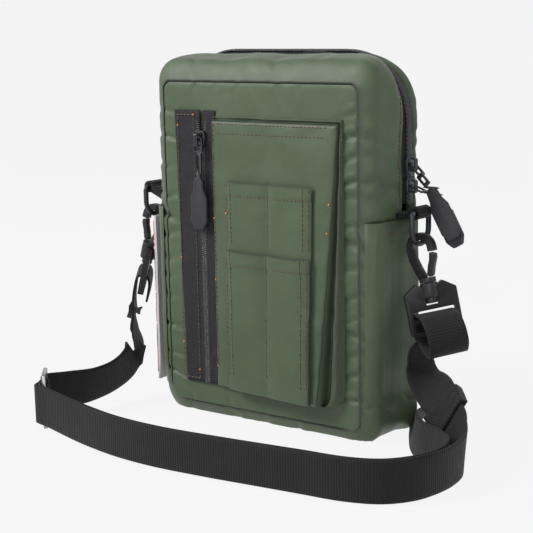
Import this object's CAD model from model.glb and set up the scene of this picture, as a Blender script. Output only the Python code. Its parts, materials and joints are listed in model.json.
"""Cloth, thread, zips and finishes for a small upright utility shoulder bag.

Shapes are in millimetres, and the mesh makers turn them into metres. The camera, lights and floor are in metres.
"""
import json
import random
from math import cos, exp, hypot, pi, radians, sin

import bmesh
import bpy
from mathutils import Matrix, Vector, noise


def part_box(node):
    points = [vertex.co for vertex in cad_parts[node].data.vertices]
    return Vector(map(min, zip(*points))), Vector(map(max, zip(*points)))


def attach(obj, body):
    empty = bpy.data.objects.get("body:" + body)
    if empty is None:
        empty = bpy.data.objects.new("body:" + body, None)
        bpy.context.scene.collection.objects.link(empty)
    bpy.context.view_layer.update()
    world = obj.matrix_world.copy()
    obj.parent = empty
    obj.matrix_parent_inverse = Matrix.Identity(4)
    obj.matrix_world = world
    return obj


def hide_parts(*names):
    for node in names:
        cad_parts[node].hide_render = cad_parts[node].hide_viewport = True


MM = 0.001
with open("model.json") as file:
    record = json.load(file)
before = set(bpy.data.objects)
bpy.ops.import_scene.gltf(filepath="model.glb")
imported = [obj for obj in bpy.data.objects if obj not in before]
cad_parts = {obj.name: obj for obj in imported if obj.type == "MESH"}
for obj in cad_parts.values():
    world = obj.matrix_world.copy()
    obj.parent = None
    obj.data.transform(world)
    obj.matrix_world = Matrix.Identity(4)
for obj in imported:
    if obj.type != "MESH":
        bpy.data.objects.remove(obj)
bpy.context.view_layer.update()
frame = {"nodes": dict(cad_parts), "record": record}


def low(node, axis):
    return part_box(node)[0]["xyz".index(axis)] / MM


def high(node, axis):
    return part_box(node)[1]["xyz".index(axis)] / MM


def share(value):
    """Holds a value between 0 and 1."""
    return max(0.0, min(1.0, value))


def neighbours(items, i):
    """The items after and before one, held at the ends."""
    return items[min(i + 1, len(items) - 1)], items[max(i - 1, 0)]


# Driving dimensions, from the frame where a part gives them
SEAM_ALLOWANCE = 1.7
FRONT_SEAM = low("front_panel", "y")
BACK_SEAM = high("back_panel", "y")
PANEL_HALF = high("front_panel", "x") + SEAM_ALLOWANCE
PANEL_TOP = high("front_panel", "z") + SEAM_ALLOWANCE
PANEL_LOW = low("front_panel", "z") - SEAM_ALLOWANCE
CHAIN_FRONT = low("main_zip_chain", "y")
CHAIN_BACK = high("main_zip_chain", "y")
ZIP_Y = (CHAIN_FRONT + CHAIN_BACK) / 2
SIDE_SWELL = high("main_zip_chain", "x") + 0.9 - PANEL_HALF
TOP_SWELL = high("main_zip_chain", "z") + 0.9 - PANEL_TOP
BASE_SWELL = 12.0
FRONT_POWER = 4
BACK_POWER = 2.5
SEAM_CORNER = 6.0
ZIP_CORNER = 43.0
BASE_CORNER = 14.0
HEM_Z = high("lower_gusset", "z")
POCKET_LEFT = low("pocket_bellows", "x")
POCKET_RIGHT = high("pocket_bellows", "x")
POCKET_LOW = low("pocket_bellows", "z")
POCKET_TOP = high("pocket_bellows", "z")
POCKET_ZIP_X = (low("pocket_zip_chain", "x") + high("pocket_zip_chain", "x")) / 2
STRIP_LEFT = low("pocket_zip_strip", "x")
PEN_LEFT = low("pen_pocket_tall", "x")
PEN_RIGHT = high("pen_pocket_tall", "x")
PEN_TALL_TOP = high("pen_pocket_tall", "z")
PEN_SHORT_TOP = high("pen_pocket_short", "z")
TOOTH_PITCH = 1.35
STITCH_GAP = 0.7
THREAD_RADIUS = 0.34
HEM_STITCH = 8.5
FLAT_HALF = 45
PATCH_STAND = 3.0
PANEL_GATHER = 2.8
SIDE_GATHER = 4.2
FRONT_ZIP_EDGE = CHAIN_FRONT - 3.4
BACK_ZIP_EDGE = CHAIN_BACK + 2.6


# Camera and studio

VIEW_SPIN = radians(38.24)


def add_camera():
    spin, tip, roll = VIEW_SPIN, radians(9.91), radians(-1.12)
    ahead = Vector((-sin(spin) * cos(tip), cos(spin) * cos(tip), -sin(tip)))
    flat = Vector((cos(spin), sin(spin), 0))
    rise = flat.cross(ahead)
    right = flat * cos(roll) + rise * sin(roll)
    up = rise * cos(roll) - flat * sin(roll)
    data = bpy.data.cameras.new("camera")
    data.lens = 98.1
    data.sensor_width = 36
    camera = bpy.data.objects.new("camera", data)
    turn = Matrix((right, up, -ahead)).transposed().to_4x4()
    camera.matrix_world = Matrix.Translation(Vector((0.5674, -0.7408, 0.2628))) @ turn
    bpy.context.collection.objects.link(camera)
    bpy.context.scene.camera = camera


LIT_SPOT = Vector((0, 0, 0.11))


def add_light(name, place, size, power):
    data = bpy.data.lights.new(name, "AREA")
    data.shape = "DISK"
    data.size = size
    data.energy = power
    light = bpy.data.objects.new(name, data)
    light.location = place
    light.rotation_euler = (LIT_SPOT - Vector(place)).to_track_quat("-Z", "Y").to_euler()
    bpy.context.collection.objects.link(light)


def add_studio():
    world = bpy.data.worlds.new("studio")
    world.use_nodes = True
    background = world.node_tree.nodes["Background"]
    background.inputs["Color"].default_value = (1.0, 1.0, 1.0, 1)
    background.inputs["Strength"].default_value = 0.42
    bpy.context.scene.world = world
    bpy.context.scene.view_settings.view_transform = "Standard"
    add_light("key", (-0.9, -1.1, 1.25), 0.7, 36)
    add_light("fill", (0.9, -1.4, 0.5), 1.2, 10)
    add_light("top", (0.1, 0.25, 1.9), 1.2, 3)
    add_light("rim", (1.5, 0.5, 0.8), 0.8, 5)


def add_floor():
    """A floor that curves up into a wall, far behind the bag."""
    path = [(-6.0, 0.0), (3.0, 0.0)]
    path += [(3.0 + 1.5 * sin(radians(a)), 1.5 - 1.5 * cos(radians(a))) for a in range(10, 91, 10)]
    path += [(4.5, 8.0)]
    shape = bmesh.new()
    rows = []
    away = Matrix.Rotation(VIEW_SPIN, 3, "Z")
    for along, height in path:
        rows.append([shape.verts.new(away @ Vector((side, along, height - 0.0004))) for side in (-8, 8)])
    for near, far in zip(rows, rows[1:]):
        shape.faces.new((near[0], near[1], far[1], far[0]))
    mesh = bpy.data.meshes.new("floor")
    shape.to_mesh(mesh)
    floor = bpy.data.objects.new("floor", mesh)
    bpy.context.collection.objects.link(floor)
    paper = Finish("backdrop_paper")
    grain = paper.noise(4.0, 2)
    paper.feed("Base Color", paper.blend(grain, (0.030, 0.030, 0.030), (0.035, 0.035, 0.035)))
    paper.feed("Emission Color", paper.blend(grain, (0.875, 0.875, 0.875), (0.885, 0.885, 0.885)))
    paper.fix(Roughness=0.95, Emission_Strength=1.0, Specular_IOR_Level=0.0)
    mesh.materials.append(paper.material)
    for face in mesh.polygons:
        face.use_smooth = True


# Finishes

class Wire:
    """A node's output that can be added, scaled and compared like a number."""

    def __init__(self, finish, socket):
        self.finish = finish
        self.socket = socket

    def sum(self, operation, *others):
        return self.finish.node("ShaderNodeMath", {"operation": operation}, dict(enumerate((self, *others))))

    def __add__(self, other):
        return self.sum("ADD", other)

    def __sub__(self, other):
        return self.sum("SUBTRACT", other)

    def __rsub__(self, other):
        return self.finish.node("ShaderNodeMath", {"operation": "SUBTRACT"}, {0: other, 1: self})

    def __mul__(self, other):
        return self.sum("MULTIPLY", other)

    __radd__ = __add__
    __rmul__ = __mul__

    def ripple(self, length):
        return (self * (2 * pi / length)).sum("SINE")

    def above(self, limit):
        return self.sum("GREATER_THAN", limit)


class Finish:
    """One material and the nodes behind it."""

    def __init__(self, name):
        self.material = bpy.data.materials.new(name)
        self.material.use_nodes = True
        self.tree = self.material.node_tree
        self.surface = self.tree.nodes["Principled BSDF"]

    def node(self, kind, settings=None, sockets=None, out=0):
        made = self.tree.nodes.new(kind)
        for key, value in (settings or {}).items():
            setattr(made, key, value)
        for key, value in (sockets or {}).items():
            if isinstance(value, Wire):
                self.tree.links.new(value.socket, made.inputs[key])
            else:
                made.inputs[key].default_value = value
        return Wire(self, made.outputs[out])

    def place(self):
        return self.node("ShaderNodeTexCoord", out="Object")

    def cloth_axes(self):
        """How far a point lies across and along its cloth, in millimetres."""
        spread = self.node("ShaderNodeSeparateXYZ", sockets={0: self.node("ShaderNodeTexCoord", out="UV")})
        along = Wire(self, spread.socket.node.outputs[1])
        return spread * 1000, along * 1000

    def noise(self, scale, detail=3, roughness=0.55):
        sockets = {"Vector": self.place(), "Scale": scale, "Detail": detail, "Roughness": roughness}
        return self.node("ShaderNodeTexNoise", sockets=sockets)

    def painted(self, name):
        """A mask kept on the mesh."""
        return self.node("ShaderNodeAttribute", {"attribute_name": name}, out="Fac")

    def blend(self, share, first, second):
        ends = [(*end, 1) if isinstance(end, tuple) else end for end in (first, second)]
        sockets = {0: share, 6: ends[0], 7: ends[1]}
        return self.node("ShaderNodeMix", {"data_type": "RGBA"}, sockets, 2)

    def bump(self, height, distance, strength=1.0, under=None):
        sockets = {"Height": height, "Distance": distance, "Strength": strength}
        if under:
            sockets["Normal"] = under
        return self.node("ShaderNodeBump", sockets=sockets)

    def feed(self, socket, wire):
        self.tree.links.new(wire.socket, self.surface.inputs[socket])

    def fix(self, **values):
        for key, value in values.items():
            socket = self.surface.inputs[key.replace("_", " ")]
            socket.default_value = (*value, 1) if isinstance(value, tuple) else value


def coated_nylon(name, shade=1.0):
    """Close-woven nylon with a soft coating, dark in its seams."""
    finish = Finish(name)
    deep = tuple(c * shade for c in (0.034, 0.053, 0.025))
    pale = tuple(c * shade for c in (0.056, 0.082, 0.043))
    cloud = finish.noise(22.0, 4)
    mottle = finish.noise(260.0, 2)
    colour = finish.blend(cloud * 0.75 + mottle * 0.25, deep, pale)
    colour = finish.blend(finish.painted("seam"), colour, (0.012, 0.016, 0.010))
    finish.feed("Base Color", colour)
    finish.feed("Roughness", 0.46 + finish.noise(90.0, 2) * 0.16)
    across, along = finish.cloth_axes()
    weave = across.ripple(0.55) * along.ripple(0.55)
    rough = finish.bump(weave, 0.00003, 0.5)
    finish.feed("Normal", finish.bump(finish.noise(48.0, 3, 0.5), 0.0012, 0.6, rough))
    finish.fix(Sheen_Weight=0.1, Sheen_Roughness=0.4, Specular_IOR_Level=0.42)
    return finish.material


def ribbed_webbing():
    finish = Finish("ribbed_webbing")
    across, along = finish.cloth_axes()
    rib = along.ripple(1.7)
    yarn = across.ripple(1.1) * along.ripple(1.15)
    tone = finish.noise(160.0, 3) * 0.7 + (rib * 0.5 + 0.5) * 0.3
    finish.feed("Base Color", finish.blend(tone, (0.003, 0.003, 0.0035), (0.010, 0.010, 0.011)))
    finish.feed("Roughness", 0.62 + finish.noise(120.0, 2) * 0.2)
    fine = finish.bump(yarn, 0.00012, 0.6)
    finish.feed("Normal", finish.bump(rib, 0.00018, 0.6, fine))
    finish.fix(Sheen_Weight=0.06, Sheen_Roughness=0.5, Specular_IOR_Level=0.22)
    return finish.material


def twill_tape():
    finish = Finish("twill_tape")
    across, along = finish.cloth_axes()
    twill = (across + along).ripple(1.2)
    fleck = finish.noise(900.0, 2)
    tone = finish.blend(fleck, (0.006, 0.006, 0.007), (0.030, 0.030, 0.033))
    finish.feed("Base Color", finish.blend(finish.painted("seam"), tone, (0.004, 0.004, 0.004)))
    finish.feed("Normal", finish.bump(twill * 0.6 + fleck, 0.00016, 0.9))
    finish.fix(Roughness=0.85, Specular_IOR_Level=0.25)
    return finish.material


def moulded(name, dark, pale, roughness, grain, depth, metallic=0.0, worn=0.0):
    """Plastic, rubber or plated metal with a fine surface grain and rubbed edges."""
    finish = Finish(name)
    cloud = finish.noise(grain / 6, 3)
    rubbed = finish.node("ShaderNodeNewGeometry", out="Pointiness")
    rubbed = ((rubbed - 0.5) * 9.0).sum("MAXIMUM", 0.0).sum("MINIMUM", 1.0) * worn
    colour = finish.blend(cloud, dark, pale)
    finish.feed("Base Color", finish.blend(rubbed, colour, tuple(min(1.0, c * 3 + 0.05) for c in pale)))
    finish.feed("Roughness", roughness + (cloud - 0.5) * 0.18)
    finish.feed("Normal", finish.bump(finish.noise(grain, 3), depth, 0.6))
    finish.fix(Metallic=metallic, Specular_IOR_Level=0.28)
    return finish.material


def napped_felt():
    finish = Finish("napped_felt")
    nap = finish.noise(700.0, 4, 0.7)
    tone = finish.blend(nap, (0.20, 0.195, 0.21), (0.50, 0.48, 0.51))
    finish.feed("Base Color", finish.blend(finish.painted("seam"), tone, (0.06, 0.06, 0.06)))
    finish.feed("Normal", finish.bump(nap, 0.0006, 1.0))
    finish.fix(Roughness=0.95, Sheen_Weight=0.5)
    return finish.material


def flecked_print():
    """Small copper, white and red flecks on a dark rubbery ground."""
    finish = Finish("flecked_print")
    sockets = {"Vector": finish.place(), "Scale": 520.0}
    cells = finish.node("ShaderNodeTexVoronoi", sockets=sockets, out="Color")
    pick = finish.node("ShaderNodeSeparateXYZ", sockets={0: cells})
    warm = finish.blend(pick, (0.45, 0.13, 0.04), (0.20, 0.03, 0.02))
    light = finish.blend(pick.above(0.82), warm, (0.60, 0.56, 0.50))
    ground = finish.noise(130.0, 3).above(0.52)
    finish.feed("Base Color", finish.blend(ground, light, (0.02, 0.02, 0.022)))
    finish.feed("Normal", finish.bump(finish.noise(500.0, 3), 0.0003, 0.8))
    finish.fix(Roughness=0.6)
    return finish.material


def twisted_thread(name, dark, pale):
    finish = Finish(name)
    finish.feed("Base Color", finish.blend(finish.noise(400.0, 2), dark, pale))
    finish.feed("Normal", finish.bump(finish.noise(2500.0, 2), 0.0001, 0.8))
    finish.fix(Roughness=0.6, Sheen_Weight=0.3)
    return finish.material


# Mesh makers

def add_mesh(name, shape, material, body="bag"):
    """Turns a bmesh in millimetres into a piece that rides on a body."""
    bmesh.ops.scale(shape, verts=shape.verts, vec=(MM, MM, MM))
    mesh = bpy.data.meshes.new(name)
    shape.to_mesh(mesh)
    shape.free()
    mesh.materials.append(material)
    mesh.polygons.foreach_set("use_smooth", [True] * len(mesh.polygons))
    piece = bpy.data.objects.new(name, mesh)
    bpy.context.collection.objects.link(piece)
    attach(piece, body)
    return piece


def stand_in(piece, node):
    """Puts a piece in a plain part's place."""
    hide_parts(node)
    return piece


def grid_shape(rows, seams=None, closed=False):
    """A sheet through a grid of points, with its own lengths as UVs and a seam mask."""
    shape = bmesh.new()
    mask = shape.verts.layers.float.new("seam")
    uv = shape.loops.layers.uv.new("UVMap")
    corners = [[shape.verts.new(p) for p in row] for row in rows]
    for row, marks in zip(corners, seams or []):
        for corner, mark in zip(row, marks):
            corner[mask] = mark
    across = [0.0]
    middle = len(rows) // 2
    for i in range(1, len(rows[0])):
        across.append(across[-1] + (Vector(rows[middle][i]) - Vector(rows[middle][i - 1])).length)
    along = [0.0]
    half = len(rows[0]) // 2
    for j in range(1, len(rows)):
        along.append(along[-1] + (Vector(rows[j][half]) - Vector(rows[j - 1][half])).length)
    count = len(rows[0])
    across.append(across[-1] + 1.0)
    for j in range(len(rows) - 1):
        for i in range(count if closed else count - 1):
            k = (i + 1) % count
            face = shape.faces.new((corners[j][i], corners[j][k], corners[j + 1][k], corners[j + 1][i]))
            places = ((i, j), (i + 1, j), (i + 1, j + 1), (i, j + 1))
            for loop, (a, b) in zip(face.loops, places):
                loop[uv].uv = (across[a] * MM, along[b] * MM)
    return shape


def add_sheet(name, node, rows, material, seams=None, thick=0.0):
    piece = add_mesh(name, grid_shape(rows, seams), material)
    if thick:
        solid = piece.modifiers.new("cloth", "SOLIDIFY")
        solid.thickness = thick * MM
        solid.offset = 0
    return stand_in(piece, node)


def spread(first, last, steps, ends=True):
    stop = steps + 1 if ends else steps
    return [first + (last - first) * i / steps for i in range(stop)]


def eased(first, last, steps):
    """Points that crowd towards both ends."""
    return [first + (last - first) * (1 - cos(pi * i / steps)) / 2 for i in range(steps + 1)]


def arc(centre, radius, start, end, steps):
    turns = [radians(start + (end - start) * i / steps) for i in range(steps + 1)]
    return [(centre[0] + radius * cos(a), centre[1] + radius * sin(a)) for a in turns]


def bevelled(node, name, material, width):
    """A copy of a hard part with its edges rounded off, in place of the plain one."""
    source = frame["nodes"][node]
    shape = bmesh.new()
    shape.from_mesh(source.data)
    bmesh.ops.remove_doubles(shape, verts=shape.verts, dist=1e-6)
    bmesh.ops.dissolve_limit(shape, angle_limit=radians(2), verts=shape.verts, edges=shape.edges)
    bmesh.ops.scale(shape, verts=shape.verts, vec=(1 / MM, 1 / MM, 1 / MM))
    piece = add_mesh(name, shape, material, BODY_OF[node])
    bevel = piece.modifiers.new("edges", "BEVEL")
    bevel.width = width * MM
    bevel.segments = 3
    bevel.limit_method = "ANGLE"
    bevel.angle_limit = radians(30)
    bevel.use_clamp_overlap = True
    bevel.harden_normals = True
    stand_in(piece, node)


BODY_OF = {}
for body_name, body_nodes in frame["record"]["behaviour"]["bodies"].items():
    for body_node in body_nodes:
        BODY_OF[body_node] = body_name


# The bag's outline at one depth

def swell(y):
    """0 at the front and back seams, 1 in the plane of the zip."""
    if y < ZIP_Y:
        return 1 - min(1.0, (y - ZIP_Y) / (FRONT_SEAM - ZIP_Y)) ** FRONT_POWER
    return 1 - min(1.0, (y - ZIP_Y) / (BACK_SEAM - ZIP_Y)) ** BACK_POWER


def corner_share(y):
    """How far a corner has grown from the seams' tight one to the zip's wide one."""
    if y < ZIP_Y:
        return ((y - FRONT_SEAM) / (ZIP_Y - FRONT_SEAM)) ** 1.4 if y > FRONT_SEAM else 0.0
    return 0.3 + 0.7 * max(0.0, 1 - max(0.0, y - ZIP_Y - 6) / 7)


def half_width(y, inset=0.0):
    return PANEL_HALF + SIDE_SWELL * swell(y) - inset


def arch_line(y, inset, foot):
    """Across the top of the bag from the right side to the left."""
    width = half_width(y, inset)
    top = PANEL_TOP + TOP_SWELL * swell(y) - inset
    corner = SEAM_CORNER + (ZIP_CORNER - SEAM_CORNER) * corner_share(y) - inset
    line = [(width, z) for z in spread(foot, top - corner, 26, False)]
    line += arc((width - corner, top - corner), corner, 0, 90, 24)
    line += [(x, top) for x in spread(width - corner, corner - width, 50)[1:-1]]
    line += arc((corner - width, top - corner), corner, 90, 180, 24)
    line += [(-width, z) for z in spread(top - corner, foot, 26)[1:]]
    return line


def trough_line(y, inset, rim):
    """Under the bag from the right side to the left."""
    width = half_width(y, inset)
    base = max(0.0, PANEL_LOW - BASE_SWELL * swell(y)) + inset
    corner = BASE_CORNER - inset
    line = [(width, z) for z in spread(rim, base + corner, 60, False)]
    line += arc((width - corner, base + corner), corner, 0, -90, 12)
    line += [(x, base) for x in spread(width - corner, corner - width, 60)[1:-1]]
    line += arc((corner - width, base + corner), corner, -90, -180, 12)
    line += [(-width, z) for z in spread(base + corner, rim, 60)[1:]]
    return line


def line_normals(line):
    """The way out of the bag at each point of a line round it."""
    ways = []
    for i in range(len(line)):
        ahead, behind = neighbours(line, i)
        along = Vector((ahead[0] - behind[0], ahead[1] - behind[1])).normalized()
        way = Vector((along.y, -along.x))
        if way.dot(Vector((line[i][0], line[i][1] - 110))) < 0:
            way = -way
        ways.append(way)
    return ways


# Gathers where the seams pull the cloth

def seam_gathers(seed, spacing):
    """Where each gather starts on the seam, the way it runs, and its depth, width and reach."""
    dice = random.Random(seed)
    found = []
    for side in (1, -1):
        z = PANEL_LOW + 16 + dice.uniform(0, 8)
        while z < PANEL_TOP - 14:
            way = Vector((-side, dice.uniform(-0.35, 0.35))).normalized()
            found.append((Vector((side * PANEL_HALF, z)), way, dice.uniform(0.5, 1.3), dice.uniform(1.2, 2.4),
                          dice.uniform(10, 24)))
            z += dice.uniform(*spacing)
    for height, down in ((PANEL_TOP, -1), (PANEL_LOW, 1)):
        x = -PANEL_HALF + 18 + dice.uniform(0, 14)
        while x < PANEL_HALF - 16:
            way = Vector((dice.uniform(-0.3, 0.3), down)).normalized()
            found.append((Vector((x, height)), way, dice.uniform(0.25, 0.7), dice.uniform(1.6, 3.2),
                          dice.uniform(7, 14)))
            x += dice.uniform(spacing[0] * 1.3, spacing[1] * 1.6)
    return found


GATHERS = seam_gathers(11, (11, 21))


def panel_gather(x, z):
    """How far the gathers sink a point of a panel."""
    total = 0.0
    for start, way, depth, width, reach in GATHERS:
        apart = Vector((x, z)) - start
        along = apart.dot(way)
        if -3 < along < reach * 2.5:
            beside = apart.x * way.y - apart.y * way.x
            if abs(beside) < width * 3:
                ridge = exp(-((beside - width * 1.3) / (width * 1.2)) ** 2) * 0.45
                total += depth * (exp(-(beside / width) ** 2) - ridge) * exp(-max(0.0, along) / reach * 1.6)
    return total * PANEL_GATHER


def side_gather(x, z, away):
    """The same gathers on the cloth round the corner, away from the seam."""
    total = 0.0
    for start, way, depth, width, reach in GATHERS:
        apart = Vector((x, z)) - start
        if abs(apart.dot(way)) < 26:
            slant = away * 0.35 * (1 if way.x * way.y > 0 else -1)
            beside = apart.x * way.y - apart.y * way.x + slant
            if abs(beside) < width * 4:
                ridge = exp(-((beside - width * 1.4) / (width * 1.3)) ** 2) * 0.5
                fold = exp(-(beside / (width * 1.2)) ** 2) - ridge
                total += depth * SIDE_GATHER * fold * exp(-away / reach * 1.3)
    return total


def slow_noise(x, y, z, size):
    return noise.noise(Vector((x, y, z)) / size)


# The shell

def edge_distance(x, z):
    """How far inside the panels' seam a point lies."""
    reach_x = abs(x) - (PANEL_HALF - SEAM_CORNER)
    middle = (PANEL_TOP + PANEL_LOW) / 2
    reach_z = abs(z - middle) - ((PANEL_TOP - PANEL_LOW) / 2 - SEAM_CORNER)
    outside = hypot(max(0.0, reach_x), max(0.0, reach_z)) + min(0.0, max(reach_x, reach_z))
    return SEAM_CORNER - outside


def round_corner(x, z):
    """Pulls a point of a square grid onto the panels' rounded outline."""
    centre_x = (PANEL_HALF - SEAM_CORNER) * (1 if x > 0 else -1)
    middle = (PANEL_TOP + PANEL_LOW) / 2
    centre_z = PANEL_TOP - SEAM_CORNER if z > middle else PANEL_LOW + SEAM_CORNER
    beyond_x = (x - centre_x) * (1 if x > 0 else -1)
    beyond_z = (z - centre_z) * (1 if z > middle else -1)
    if beyond_x > 0 and beyond_z > 0:
        far = hypot(beyond_x, beyond_z)
        square = max(beyond_x, beyond_z)
        scale = square / far
        return centre_x + (x - centre_x) * scale, centre_z + (z - centre_z) * scale
    return x, z


def folds(x, z, seed):
    """Long slack folds that run on a slant and fade in and out."""
    lean = x * 0.45 + z * 0.9 + slow_noise(x, seed + 40, z, 55) * 42
    crest = abs(sin(lean / 15))
    return (0.6 - crest ** 0.6) * 1.3 * max(0.0, slow_noise(x, seed + 9, z, 42) + 0.25)


def panel_relief(x, z, seed):
    """How far a panel stands out of the plane of its seam."""
    inside = max(0.0, edge_distance(x, z))
    drop = 0.8 * exp(-inside / 1.0)
    crown = 1.4 * (1 - exp(-inside / 18))
    drift = slow_noise(x, seed, z, 38) * 1.6 * (1 - exp(-inside / 12))
    drift += folds(x, z, seed) * min(1.0, inside / 8)
    return crown + drift - drop - panel_gather(x, z) * min(1.0, inside / 3)


def build_panel(name, node, plane, out, seed, material):
    xs = eased(-PANEL_HALF, PANEL_HALF, 116)
    rows, seams = [], []
    for z in eased(PANEL_LOW, PANEL_TOP, 150):
        row, marks = [], []
        for x in xs:
            px, pz = round_corner(x, z)
            row.append((px, plane + out * panel_relief(px, pz, seed), pz))
            marks.append(exp(-(max(0.0, edge_distance(px, pz)) / 0.6) ** 2))
        rows.append(row)
        seams.append(marks)
    piece = add_sheet(name, node, rows, material, seams)


def settle(x, y, z, way, away):
    """Where a point of a gusset ends up once its cloth has waved and gathered."""
    sink = side_gather(x, z, away) * min(1.0, away / 3.5) if 0 < away < 30 else 0.0
    sink *= 0.4 if y > ZIP_Y else 1.0
    drift = (slow_noise(x, y, z, 34) * 1.6 + slow_noise(x, y, z, 10) * 0.5
             + folds(y * 1.6 + x * 0.5, z + x * 0.6, 4) * 1.2) * min(1.0, away / 8)
    slope = 1.9 * exp(-((FRONT_ZIP_EDGE - y) / 6) ** 2) * max(0.0, way.y) if y < ZIP_Y else 0.0
    return drift - sink - slope


def gusset_rows(line, depths, foot, tuck):
    """Rows of points between the seam and the zip, or between two seams.

    depths holds (y, inset, distance from the nearest seam) for each row.
    """
    rows, seams = [], []
    for y, inset, away in depths:
        points = line(y, inset, foot)
        ways = line_normals(points)
        row, marks = [], []
        for (x, z), way in zip(points, ways):
            out = settle(x, y, z, way, away) - tuck(z)
            row.append((x + way.x * out, y, max(0.2, z + way.y * out)))
            marks.append(exp(-(away / 0.8) ** 2))
        rows.append(row)
        seams.append(marks)
    return rows, seams


def seam_puff(away):
    """How far the cloth rolls out beside a seam."""
    return 3.2 * exp(-((away - 6) / 6) ** 2) * min(1.0, away / 2.5)


def edge_dip(near):
    """How far a gusset sinks towards its stitched edge beside the zip."""
    return 0.5 * exp(-(near / 6.0) ** 2) - 0.4 * exp(-((near - 6.5) / 2.5) ** 2)


def zip_edge_rows(seam, edge, out):
    """Depths from a seam to a folded edge beside the zip."""
    rows = [(seam + out * 1.0, 0.8, 0.0), (seam + out * 0.1, 0.2, 0.3)]
    for y in eased(seam + out * 0.5, edge, 28)[1:]:
        rows.append((y, edge_dip(abs(edge - y)) - seam_puff(abs(y - seam)), abs(y - seam)))
    rows += [(edge + out * 0.4, 3.2, abs(edge - seam)), (edge + out * 0.3, 4.4, abs(edge - seam))]
    return rows


def tuck_foot(z):
    """Sinks the arch's feet behind the slip pockets' hems."""
    return 1.6 * share((HEM_Z + 1.5 - z) / 2.0)


def tuck_rim(z):
    return 1.6 * share((z - HEM_Z + 9) / 4.0)


def seam_to_seam():
    depths = [(FRONT_SEAM + 1.0, 0.8, 0.0), (FRONT_SEAM + 0.1, 0.2, 0.3)]
    for y in eased(FRONT_SEAM + 0.5, BACK_SEAM - 0.5, 44):
        away = min(y - FRONT_SEAM, BACK_SEAM - y)
        depths.append((y, -seam_puff(away), away))
    return depths + [(BACK_SEAM - 0.1, 0.2, 0.3), (BACK_SEAM - 1.0, 0.8, 0.0)]


def add_cloth(name, made, material, node):
    """A sewn sheet, declared at its own size, and the piece it is sewn onto."""
    rows, seams = made
    piece = add_sheet(name, node, rows, material, seams)
    k = len(rows[0]) // 2
    width = sum((Vector(b[k]) - Vector(a[k])).length for a, b in zip(rows, rows[1:])) * MM
    area = sum(face.area for face in piece.data.polygons)
    area / width


def build_shell(cloth):
    build_panel("front_panel_cloth", "front_panel", FRONT_SEAM, -1, 3, cloth)
    build_panel("back_panel_cloth", "back_panel", BACK_SEAM, 1, 8, cloth)
    for node, seam, edge, out in (("front_gusset", FRONT_SEAM, FRONT_ZIP_EDGE, 1),
                                  ("rear_gusset", BACK_SEAM, BACK_ZIP_EDGE, -1)):
        made = gusset_rows(arch_line, zip_edge_rows(seam, edge, out), HEM_Z - 5, tuck_foot)
        add_cloth(node + "_cloth", made, cloth, node)
    around = gusset_rows(trough_line, seam_to_seam(), HEM_Z, tuck_rim)
    add_cloth("lower_gusset_cloth", around, cloth, "lower_gusset")


# Small pieces kept in one mesh: stitches and zip teeth

def add_bead(shape, start, end, radius, sides=6):
    """A short rounded bar between two points."""
    start, end = Vector(start), Vector(end)
    along = (end - start).normalized()
    beside = along.orthogonal().normalized()
    other = along.cross(beside)
    loops = []
    for t, size in ((0.0, 0.35), (0.18, 1.0), (0.82, 1.0), (1.0, 0.35)):
        centre = start.lerp(end, t)
        ring = [2 * pi * k / sides for k in range(sides)]
        spokes = [(beside * cos(a) + other * sin(a)) * radius * size for a in ring]
        loops.append([shape.verts.new(centre + spoke) for spoke in spokes])
    for near, far in zip(loops, loops[1:]):
        for k in range(sides):
            shape.faces.new((near[k], near[(k + 1) % sides], far[(k + 1) % sides], far[k]))
    shape.faces.new(loops[0][::-1])
    shape.faces.new(loops[-1])


def walk(path, step):
    """Points at an even step along a path."""
    points = [Vector(p) for p in path]
    left = 0.0
    found = []
    for start, end in zip(points, points[1:]):
        length = (end - start).length
        while left < length:
            found.append(start.lerp(end, left / length))
            left += step
        left -= length
    return found


def sew(shape, path, pitch=3.0, seed=1):
    """Dashes of thread along a path, a little uneven."""
    dice = random.Random(seed)
    stops = walk(path, pitch)
    for start, end in zip(stops, stops[1:]):
        wander = Vector([dice.uniform(-0.12, 0.12) for _ in range(3)])
        add_bead(shape, start + wander, start.lerp(end, 1 - STITCH_GAP / pitch) + wander, THREAD_RADIUS, 5)


def coil(shape, path, normals, width):
    """Coil teeth along a path, as pairs of slanted loops that meet in the middle."""
    stops = walk(path, TOOTH_PITCH)
    for i, (start, end) in enumerate(zip(stops, stops[1:])):
        along = (end - start).normalized()
        out = normals(start)
        side = along.cross(out).normalized()
        for s in (-1, 1):
            base = start + along * (TOOTH_PITCH / 2 if s > 0 else 0)
            add_bead(shape, base + side * s * width / 2, base - side * s * 0.35 + out * 0.6, 0.85)
        if i % 2:
            add_bead(shape, start - side * width / 2, end - side * width / 2, 0.45, 5)


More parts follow.
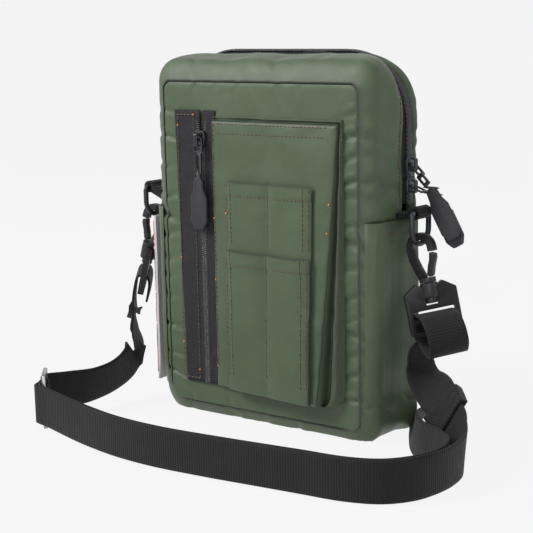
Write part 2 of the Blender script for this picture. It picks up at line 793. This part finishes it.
def build_main_zip(tape, teeth):
    def line(y, inset):
        return [Vector((x, y, z)) for x, z in arch_line(y, inset, HEM_Z + 8)]

    shape = bmesh.new()
    path = line(ZIP_Y, -0.6)

    def outward(point):
        side = point.x / abs(point.x) if point.x else 1
        height = min(point.z, PANEL_TOP + TOP_SWELL - ZIP_CORNER)
        centre = Vector((side * max(0, abs(point.x) - FLAT_HALF), ZIP_Y, height))
        way = Vector((point.x, ZIP_Y, point.z)) - centre
        flat = abs(point.x) < FLAT_HALF
        return Vector((0, 0, 1)) if flat else way.normalized()

    coil(shape, path, outward, CHAIN_BACK - CHAIN_FRONT)
    stand_in(add_mesh("main_coil_teeth", shape, teeth), "main_zip_chain")
    for side, near, far in (("front", CHAIN_FRONT - 4.5, ZIP_Y), ("rear", ZIP_Y, CHAIN_BACK + 4.5)):
        insets = [(y, 0.1 + 0.36 * max(0.0, abs(y - ZIP_Y) - 1.5)) for y in spread(near, far, 6)]
        rows = [[tuple(p) for p in line(y, inset)] for y, inset in insets]
        add_sheet("main_tape_" + side, "main_zip_tape_" + side, rows, tape)


# The front pocket

def pocket_down(z):
    """0 at the pocket's top edge, 1 at its bottom."""
    return share((POCKET_TOP - z) / (POCKET_TOP - POCKET_LOW))


def pocket_depth(x, z):
    across = share((x - POCKET_LEFT) / (POCKET_RIGHT - POCKET_LEFT))
    return 4 + 10 * pocket_down(z) * across


FOOT_RIGHT = POCKET_RIGHT + 2.5
FOOT_Y = FRONT_SEAM - 0.6
FACE_LEFT = POCKET_LEFT - 1.0
FACE_TOP = POCKET_TOP - 3.0


def face_right(z):
    """The face reaches the bellows' foot at the top and draws in towards the bottom."""
    return POCKET_RIGHT - 12 * pocket_down(z) ** 1.3


def face_inside(x, z):
    return min(x - FACE_LEFT, face_right(z) - x, FACE_TOP - z, z - POCKET_LOW)


def face_y(x, z, proud=0.0):
    """The pocket's front surface, puffed and slightly creased."""
    inside = max(0.0, face_inside(x, z))
    drift = (slow_noise(x, 5, z, 26) * 1.1 + folds(x, z, 17) * 0.9) * min(1.0, inside / 10)
    puff = 1.2 * (1 - exp(-inside / 12))
    gather = 0.35 * sin(z / 3.4 + slow_noise(x, 2, z, 20) * 3) * exp(-inside / 5)
    return FRONT_SEAM - pocket_depth(x, z) - proud - puff - drift - gather + 1.2 * exp(-inside / 1.0)


def face_rows(left, right, bottom, top, proud, edge, steps=(60, 90)):
    rows, seams = [], []
    for z in eased(bottom, top, steps[1]):
        row, marks = [], []
        limit = right(z) if callable(right) else right
        for x in eased(left, limit, steps[0]):
            rim = min(x - left, limit - x, top - z)
            y = face_y(x, z, proud) + edge * exp(-rim / 0.7)
            row.append((x, y, z))
            marks.append(exp(-(rim / 0.7) ** 2) * 0.8)
        rows.append(row)
        seams.append(marks)
    return rows, seams


def pen_bulge(x, z, top):
    """Two loose pen channels that gape a little at the hem."""
    half = (PEN_RIGHT - PEN_LEFT) / 2
    t = abs(((x - PEN_LEFT) % half) / half - 0.5) * 2
    rise = share((z - POCKET_LOW) / (top - POCKET_LOW))
    hem = 0.6 if top - HEM_STITCH < z else 0.0
    return (1 - t ** 4) * (1.5 + 2.4 * rise ** 3) + hem


def build_front_pocket(cloth, dark, tape, teeth, thread, bright):
    made = face_rows(FACE_LEFT, face_right, POCKET_LOW, FACE_TOP, 0, 0.8)
    add_cloth("pocket_face_cloth", made, cloth, "pocket_face")
    for name, top, proud in (("tall", PEN_TALL_TOP, 1.0), ("short", PEN_SHORT_TOP, 2.3)):
        rows, seams = face_rows(PEN_LEFT, PEN_RIGHT, POCKET_LOW + 1, top, proud, 0.0, (72, 80))
        rows = [[(x, y - pen_bulge(x, z, top) * 0.8, z) for x, y, z in row] for row in rows]
        piece = add_sheet("pen_cloth_" + name, "pen_pocket_" + name, rows, cloth, seams, 1.1)
    build_bellows(dark)
    build_pocket_zip(tape, teeth)
    build_pocket_stitches(thread, bright)


def pleated(x, y, z, depth, t):
    """The wall tucks in behind the face and puffs out again above the panel."""
    tuck = exp(-((t - 0.28) / 0.16) ** 2) * depth * 0.42
    puff = exp(-((t - 0.68) / 0.18) ** 2) * depth * 0.26 + slow_noise(x, t * 40, z, 15) * 1.1 * sin(pi * t)
    return x - tuck * 0.25, y + tuck - puff, z


def build_bellows(dark):
    """The pleated wall between the pocket's face and the panel."""
    corner = 9.0

    def outline(left, right, bottom, top, radius):
        line = [(left, z) for z in spread(bottom, top, 60)]
        line += [(x, top) for x in spread(left, right, 40)[1:]]
        line += [(right, z) for z in spread(top, bottom + radius, 60)[1:]]
        line += arc((right - radius, bottom + radius), radius, 0, -90, 8)[1:]
        return line + [(x, bottom) for x in spread(right - radius, left, 36)[1:]]

    rim = outline(FACE_LEFT, POCKET_RIGHT, POCKET_LOW, FACE_TOP, corner)
    rim = [(min(x, face_right(z)), z) for x, z in rim]
    foot = outline(POCKET_LEFT, FOOT_RIGHT, POCKET_LOW, POCKET_TOP, corner)
    rows, seams = [], []
    for j in range(17):
        t = j / 16
        row = []
        for (rx, rz), (fx, fz) in zip(rim, foot):
            x, z = rx + (fx - rx) * t, rz + (fz - rz) * t
            depth = pocket_depth(rx, rz)
            row.append(pleated(x, face_y(rx, rz) * (1 - t) + FOOT_Y * t, z, depth, t))
        rows.append(row)
        shadow = exp(-((t - 0.28) / 0.13) ** 2)
        seams.append([0.8 * shadow * pocket_depth(x, z) / 14 + 0.7 * (t == 1) for x, z in rim])
    add_sheet("pocket_bellows_cloth", "pocket_bellows", rows, dark, seams)


def build_pocket_zip(tape, teeth):
    top = POCKET_TOP + 3
    plane = FRONT_SEAM - 1.6

    def strip(name, node, left, right):
        rows = []
        for z in spread(POCKET_LOW, top, 60):
            lean = 4.5 * (top - z) / (top - POCKET_LOW) * (left == STRIP_LEFT)
            row = []
            for x in spread(left, right, 14):
                y = plane - 0.5 - slow_noise(x, 1, z, 15) * 0.5
                row.append((x + lean * (right - x) / (right - left), y, z))
            rows.append(row)
        add_sheet(name, node, rows, tape, None, 0.9)

    strip("pocket_strip_tape", "pocket_zip_strip", STRIP_LEFT, POCKET_ZIP_X - 1.2)
    strip("pocket_inner_tape", "pocket_zip_tape", POCKET_ZIP_X + 1.2, POCKET_LEFT + 1.5)
    shape = bmesh.new()
    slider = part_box("pocket_slider")[0].z / MM
    closed = [(POCKET_ZIP_X, plane - 0.6, z) for z in spread(POCKET_LOW + 1, slider + 4, 40)]
    coil(shape, closed, lambda p: Vector((0, -1, 0)), 5.4)
    for s in (-1, 1):
        bank = [(POCKET_ZIP_X + s * (1.6 + 2.2 * t), plane - 0.8, slider + 6 + 11 * t) for t in (0, 0.5, 1)]
        for stop in walk(bank, TOOTH_PITCH):
            add_bead(shape, stop + Vector((-1.5, 0, 0)), stop + Vector((1.5, -0.3, 0)), 0.6)
    stand_in(add_mesh("pocket_coil_teeth", shape, teeth), "pocket_zip_chain")


def face_path(points, proud, lift=None):
    path = []
    for (x0, z0), (x1, z1) in zip(points, points[1:]):
        for t in spread(0, 1, 24, False):
            x, z = x0 + (x1 - x0) * t, z0 + (z1 - z0) * t
            extra = pen_bulge(x, z, lift) * 0.8 if lift else 0.0
            path.append((x, face_y(x, z, proud) - extra, z))
    return path


def build_pocket_stitches(thread, bright):
    shape = bmesh.new()
    low, mid, strip_y = POCKET_LOW + 4, (PEN_LEFT + PEN_RIGHT) / 2, FRONT_SEAM - 2.9
    sew(shape, face_path([(FACE_LEFT + 2, FACE_TOP - 2), (POCKET_RIGHT - 2, FACE_TOP - 2)], 0.2), seed=5)
    sew(shape, face_path([(FACE_LEFT + 3, FACE_TOP - 8), (POCKET_RIGHT - 3, FACE_TOP - 8)], 0.2), seed=6)
    sew(shape, face_path([(FACE_LEFT + 2, FACE_TOP - 2), (FACE_LEFT + 2, low)], 0.2), seed=7)
    foot = []
    for z in spread(FACE_TOP - 2, low + 6, 60):
        x, depth = face_right(z) * 0.15 + FOOT_RIGHT * 0.85, pocket_depth(face_right(z), z)
        y = face_y(face_right(z), z) * 0.15 + FOOT_Y * 0.85
        foot.append(pleated(x, y - 0.5, z, depth, 0.85))
    sew(shape, foot, seed=8)
    for top, proud in ((PEN_TALL_TOP, 1.7), (PEN_SHORT_TOP, 3.0)):
        hem = [(PEN_LEFT + 1, top - HEM_STITCH), (PEN_RIGHT - 1, top - HEM_STITCH)]
        sew(shape, face_path(hem, proud, top), seed=int(top))
        for x in (PEN_LEFT + 1.6, PEN_LEFT + 5.5, mid, PEN_RIGHT - 5.5, PEN_RIGHT - 1.6):
            end = PEN_SHORT_TOP if top == PEN_TALL_TOP else low
            sew(shape, face_path([(x, top - 1), (x, end)], proud, top), seed=int(x + top) + 90)
    for x in (STRIP_LEFT + 2.5, POCKET_ZIP_X - 6.5):
        sew(shape, [(x, strip_y, POCKET_LOW + 2), (x, strip_y, POCKET_TOP)], seed=int(x) + 200)
    for z in (POCKET_LOW + 2.5, POCKET_TOP):
        sew(shape, [(STRIP_LEFT + 2, strip_y, z), (POCKET_ZIP_X - 5, strip_y, z)], seed=int(z))
    add_mesh("pocket_stitches", shape, thread)
    knots = bmesh.new()
    dice = random.Random(21)
    for _ in range(9):
        z = dice.uniform(low, PEN_TALL_TOP)
        x = dice.choice((face_right(z) - 2, FACE_LEFT + 2, PEN_RIGHT - 1.6, PEN_LEFT + 1.6))
        y = face_y(x, z, 3.2 if PEN_LEFT < x < PEN_RIGHT else 0.4)
        add_bead(knots, (x, y, z), (x + 0.1, y, z + 1.1), 0.4)
    for _ in range(7):
        x, z = dice.choice((STRIP_LEFT + 2.5, POCKET_ZIP_X - 6.5)), dice.uniform(low, POCKET_TOP)
        add_bead(knots, (x, FRONT_SEAM - 3.0, z), (x + 0.1, FRONT_SEAM - 3.0, z + 1.1), 0.4)
    add_mesh("bright_thread_dots", knots, bright)


def build_shell_stitches(thread):
    shape = bmesh.new()
    for y, seam, seed in ((FRONT_ZIP_EDGE - 2.6, FRONT_SEAM, 31), (BACK_ZIP_EDGE + 2.6, BACK_SEAM, 32)):
        line = arch_line(y, edge_dip(2.6) - 0.35, HEM_Z + 4)
        path = []
        for (x, z), way in zip(line, line_normals(line)):
            out = settle(x, y, z, way, abs(y - seam))
            path.append((x + way.x * out, y, z + way.y * out))
        sew(shape, path, 2.8, seed=seed)
    for side, out in ((1, -2.3), (-1, -3.9)):
        stops = spread(FRONT_SEAM + 3, BACK_SEAM - 2.5, 30)
        path = [(side * half_width(y, out), y, HEM_Z - HEM_STITCH) for y in stops]
        sew(shape, path, 2.6, seed=33 + side)
    add_mesh("shell_stitches", shape, thread)


# Softened copies of the flat cloth parts

def soften(node, name, material, amount=0.4, size=14.0, cell=3.0):
    """A copy of a thin soft part, cut finely and given slow waves, with cloth lengths as UVs."""
    shape = bmesh.new()
    shape.from_mesh(frame["nodes"][node].data)
    bmesh.ops.remove_doubles(shape, verts=shape.verts, dist=1e-6)
    bmesh.ops.scale(shape, verts=shape.verts, vec=(1 / MM,) * 3)
    for _ in range(3):
        longest = [e for e in shape.edges if e.calc_length() > cell * 1.6]
        if longest and len(shape.edges) < 60000:
            bmesh.ops.subdivide_edges(shape, edges=longest, cuts=1, use_grid_fill=True)
    bmesh.ops.triangulate(shape, faces=[f for f in shape.faces if len(f.verts) > 4])
    shape.normal_update()
    moves = []
    for corner in shape.verts:
        x, y, z = corner.co
        wave = slow_noise(x, y, z, size) * amount
        out = Vector((x, 0, 0)).normalized()
        if node.startswith("side_"):
            wave += seam_puff(max(0.0, min(y - FRONT_SEAM, BACK_SEAM - y)))
            wave += PATCH_STAND if "patch" in node else 0.0
            wave -= 2.6 * share((34 - z) / 18) * ("pocket" in node)
        moves.append(corner.co + out * wave)
    for corner, place in zip(shape.verts, moves):
        corner.co = place
    uv = shape.loops.layers.uv.new("UVMap")
    for face in shape.faces:
        sideways = abs(face.normal.x) > 0.6
        for loop in face.loops:
            x, y, z = loop.vert.co
            loop[uv].uv = ((y if sideways else x) * MM, z * MM)
    piece = add_mesh(name, shape, material, BODY_OF[node])
    for edge in piece.data.edges:
        edge.use_edge_sharp = False
    piece.data.set_sharp_from_angle(angle=radians(50))
    stand_in(piece, node)


# The strap: each row is a point on its middle line and the way its width points

BAND_WIDTH = 25.0
BAND_THICK = 1.5
LAYER_STEP = 2.4
SLIDE_CENTRE = Vector((-115, -110, 18.4))
SLIDE_ALONG = Vector((0.68, -0.733, 0)).normalized()
SLIDE_OUT = Vector((0.733, 0.68, 0)).normalized()


def base_frame(ring, tilt, spin, side):
    turn = Matrix.Rotation(radians(tilt), 4, "Y")
    if side < 0:
        turn = turn @ Matrix.Rotation(pi, 4, "Z")
    swivel = Vector(ring) + Vector((0, 0, -19.2)) - turn.to_3x3() @ Vector((0, 0, 24.3))
    return Matrix.Translation(swivel) @ turn @ Matrix.Rotation(radians(spin), 4, "Z")


RIGHT_BASE = base_frame((101.5, 2, 142), -13, -41, 1)
LEFT_BASE = base_frame((-108, -6, 147), 16, 38, -1)


def on_slide(along, off, height=0.0):
    point = SLIDE_CENTRE + SLIDE_ALONG * along + SLIDE_OUT * off + Vector((0, 0, height))
    return (*point, 0, 0, 1)


def on_base(place, out, height):
    return (*(place @ Vector((out, 0, height))), *(place.to_3x3() @ Vector((0, 1, 0))))


LONG_BAND = [on_slide(-1, -2.4), on_slide(4.5, -3.2), on_slide(9, -4.7), on_slide(14, -4.6, -0.2)]
LONG_BAND += [
    (-98, -124.5, 17.2, 0, 0, 1), (-81, -127.5, 15.8, 0, 0, 1), (-58, -131.5, 14.3, 0, 0, 1),
    (-28, -136, 13.4, 0, 0, 1), (5, -137, 13, 0, 0, 1), (40, -134.5, 13, 0, 0, 1), (75, -130.5, 13, 0, 0, 1),
    (104, -127, 13, 0, 0, 1), (130, -124, 13, 0, 0, 1), (150, -116, 13, 0, 0, 1), (162, -101, 13, 0, 0, 1),
    (167, -83, 13.2, 0.05, 0, 1), (167, -66, 13.7, 0.05, 0.05, 1), (163.5, -51, 15, 0.05, 0.1, 1),
    (154.5, -38, 19.5, 0, 0.15, 0.95), (142, -28, 25.5, 0, 0.4, 0.9), (129, -17.5, 31.5, 0, 0.6, 0.75),
    (115.5, -7, 37, 0, 0.8, 0.55), (104.5, 0, 44.5, 0, 0.95, 0.25), (102, 3, 53.5, 0.2, 0.95, 0.05)]
LONG_BAND += [on_base(RIGHT_BASE, *spot) for spot in (
    (-10, -36), (-10.5, -29), (-8.5, -22), (-4, -18.9), (0.5, -18.6), (5, -18.8), (12.5, -21.5), (18.5, -29),
    (19, -38), (13, -43.5), (5, -41.5), (-2.5, -36), (-5.4, -28))]
SHORT_START = [on_base(LEFT_BASE, *spot) for spot in (
    (-5.2, -37), (-5.2, -30), (-4.6, -23), (-2.4, -19), (1.5, -18.3), (4.4, -20.8), (4.9, -28), (4.6, -36),
    (3.6, -44))]
SHORT_START += [
    (-124.5, -13, 50, -0.6, 0.77, 0.05), (-118, -19, 38.5, -0.45, 0.8, 0.4),
    (-113.5, -31, 28, -0.1, 0.55, 0.8), (-112, -48, 21.5, 0.2, 0.25, 0.95),
    (-114, -67, 18.5, 0.25, 0.1, 1), (-120, -84, 18, 0.05, 0, 1)]
SHORT_START += [on_slide(*spot) for spot in (
    (-16.5, 1.4), (-12.8, -1.4), (-9, -2.5), (-6.8, -1.9), (-4.5, 0), (-2.2, 1.9), (0, 2.5), (2.2, 1.9),
    (4.5, 0), (6.8, -1.9), (9, -2.5), (13.5, -2.2))]
SHORT_END = [
    (163.6, -83, 13, 0.05, 0, 1), (161.5, -68.5, 13, 0.05, 0.05, 1), (154, -55.5, 13, 0.1, 0.05, 1),
    (141, -46, 12.9, 0.05, 0.05, 1), (125.5, -37, 12.8, 0.05, 0.05, 1), (112, -22, 12.6, 0.1, 0.1, 0.98),
    (103, -3, 11.8, 0.4, 0.15, 0.9), (96.5, 13, 10.7, 0.65, 0.15, 0.73), (90, 24, 10.2, 0.72, 0.15, 0.67)]


def inner_layer(rows):
    """The same route one layer further in, towards the bag."""
    moved = []
    for i, row in enumerate(rows):
        ahead, behind = (Vector(near[:3]) for near in neighbours(rows, i))
        inward = Vector((0, 0, 1)).cross((ahead - behind).normalized()).normalized()
        moved.append((*(Vector(row[:3]) + inward * LAYER_STEP), *row[3:]))
    return moved


def spline(points, t):
    before, start, end, after = points
    square = (before * 2 - start * 5 + end * 4 - after) * t * t
    cubic = (start * 3 - before - end * 3 + after) * t ** 3
    return start + ((end - before) * t + square + cubic) * 0.5


def smooth_route(rows, steps=10):
    result = []
    last = len(rows) - 1
    for i in range(last):
        knots = [rows[max(0, min(last, k))] for k in (i - 1, i, i + 1, i + 2)]
        near = [Vector(knot[:3]) for knot in knots]
        wide = [Vector(knot[3:]) for knot in knots]
        for j in range(steps):
            result.append((spline(near, j / steps), spline(wide, j / steps).normalized()))
    return result + [(Vector(rows[-1][:3]), Vector(rows[-1][3:]).normalized())]


def build_band(name, node, rows, material):
    """Webbing with rounded edges and a slight cup across it."""
    route = smooth_route(rows)
    half, lip = BAND_WIDTH / 2, BAND_THICK / 2
    face = [-1 + 2 * k / 10 for k in range(11)]
    section = [(s * (half - 0.4), lip) for s in face] + [(half, 0)]
    section += [(s * (half - 0.4), -lip) for s in reversed(face)] + [(-half, 0)]
    sheet = []
    for i, (point, wide) in enumerate(route):
        ahead, behind = neighbours(route, i)
        along = (ahead[0] - behind[0]).normalized()
        out = along.cross(wide).normalized()
        wide = out.cross(along).normalized()
        sway = slow_noise(*point, 45) * 0.35
        sheet.append([point + wide * s + out * (h + sway * (s / half)) for s, h in section])
    shape = grid_shape(sheet, None, True)
    shape.verts.ensure_lookup_table()
    count = len(section)
    for ends in (list(shape.verts)[:count][::-1], list(shape.verts)[-count:]):
        shape.faces.new(ends)
    piece = stand_in(add_mesh(name, shape, material), node)
    path = [tuple(point * MM) for point, _ in route]
    length = sum((Vector(b) - Vector(a)).length for a, b in zip(path, path[1:]))
    print(name, "length in millimetres:", round(length / MM))


def build_strap(webbing):
    build_band("long_webbing", "strap_long", LONG_BAND, webbing)
    shared = inner_layer(LONG_BAND)[4:15]
    build_band("short_webbing", "strap_short", SHORT_START + shared + SHORT_END, webbing)


HARD_PARTS = {
    "black metal": ("main_slider_upper", "main_slider_lower", "main_pull_upper", "main_pull_lower",
                    "pocket_slider", "pocket_pull", "ring_right", "ring_left"),
    "steel": ("strap_slide",),
    "rubber": ("main_grip_upper", "main_grip_lower", "pocket_grip"),
    "plastic": ("hook_right", "hook_left", "gate_right", "gate_left", "strap_base_right", "strap_base_left"),
}


def bridge_grips(material):
    """The neck of each rubber grip, from its metal pull's end."""
    for grip, pull in (("main_grip_upper", "main_pull_upper"), ("main_grip_lower", "main_pull_lower"),
                       ("pocket_grip", "pocket_pull")):
        ends = []
        for node, pick in ((grip, max), (pull, min)):
            points = [c.co / MM for c in frame["nodes"][node].data.vertices]
            edge = pick(p.z for p in points)
            near = [p for p in points if abs(p.z - edge) < 1.2]
            ends.append(sum(near, Vector()) / len(near))
        way = (ends[1] - ends[0]).normalized()
        shape = bmesh.new()
        add_bead(shape, ends[0] - way * 3, ends[1] + way * 1.5, 1.7 if grip == "pocket_grip" else 0.75, 12)
        piece = add_mesh(grip + "_neck", shape, material, BODY_OF[grip])


def build_all():
    cloth, shade = coated_nylon("olive_nylon"), coated_nylon("shaded_nylon", 0.85)
    webbing, tape = ribbed_webbing(), twill_tape()
    thread = twisted_thread("tan_thread", (0.030, 0.015, 0.007), (0.085, 0.045, 0.020))
    bright = twisted_thread("orange_thread", (0.65, 0.18, 0.02), (0.85, 0.30, 0.05))
    metal = moulded("gunmetal", (0.012, 0.012, 0.014), (0.035, 0.036, 0.040), 0.34, 700.0, 0.00006, 0.75, 0.6)
    steel = moulded("brushed_steel", (0.10, 0.10, 0.105), (0.24, 0.24, 0.25), 0.30, 500.0, 0.00008, 0.9, 0.5)
    rubber = moulded("graphite_rubber", (0.008, 0.008, 0.010), (0.016, 0.016, 0.019), 0.52, 500.0, 0.0001,
                     0.0, 0.4)
    plastic = moulded("black_plastic", (0.005, 0.005, 0.006), (0.012, 0.012, 0.014), 0.36, 600.0, 0.00008,
                      0.0, 0.3)
    teeth = moulded("coil_nylon", (0.007, 0.007, 0.008), (0.024, 0.024, 0.026), 0.26, 900.0, 0.0001, 0.0, 0.2)
    board = moulded("base_board", (0.02, 0.02, 0.02), (0.03, 0.03, 0.03), 0.8, 300.0, 0.0001)
    finishes = {"black metal": metal, "steel": steel, "rubber": rubber, "plastic": plastic}
    build_shell(cloth)
    build_main_zip(tape, teeth)
    build_front_pocket(cloth, shade, tape, teeth, thread, bright)
    build_shell_stitches(thread)
    soften("side_pocket_right", "right_slip_pocket", cloth, 0.7)
    soften("side_pocket_left", "left_slip_pocket", cloth, 0.7)
    soften("side_patch_panel", "felt_panel", napped_felt())
    soften("side_patch", "flecked_patch", flecked_print())
    soften("front_seam_binding", "front_binding_tape", tape, 0.3)
    soften("back_seam_binding", "back_binding_tape", tape, 0.3)
    for node in ("tab_right", "tab_left"):
        soften(node, node + "_webbing", webbing, 0.2, 8, 1.6)
    soften("strap_keeper", "keeper_webbing", webbing, 0.2, 8, 1.6)
    for kind, nodes in HARD_PARTS.items():
        for node in nodes:
            bevelled(node, node + "_finish", finishes[kind], 1.1 if kind == "rubber" else 0.35)
    bridge_grips(rubber)
    build_strap(webbing)
    frame["nodes"]["base_board"].data.materials.clear()
    frame["nodes"]["base_board"].data.materials.append(board)


add_camera()
add_studio()
add_floor()
build_all()
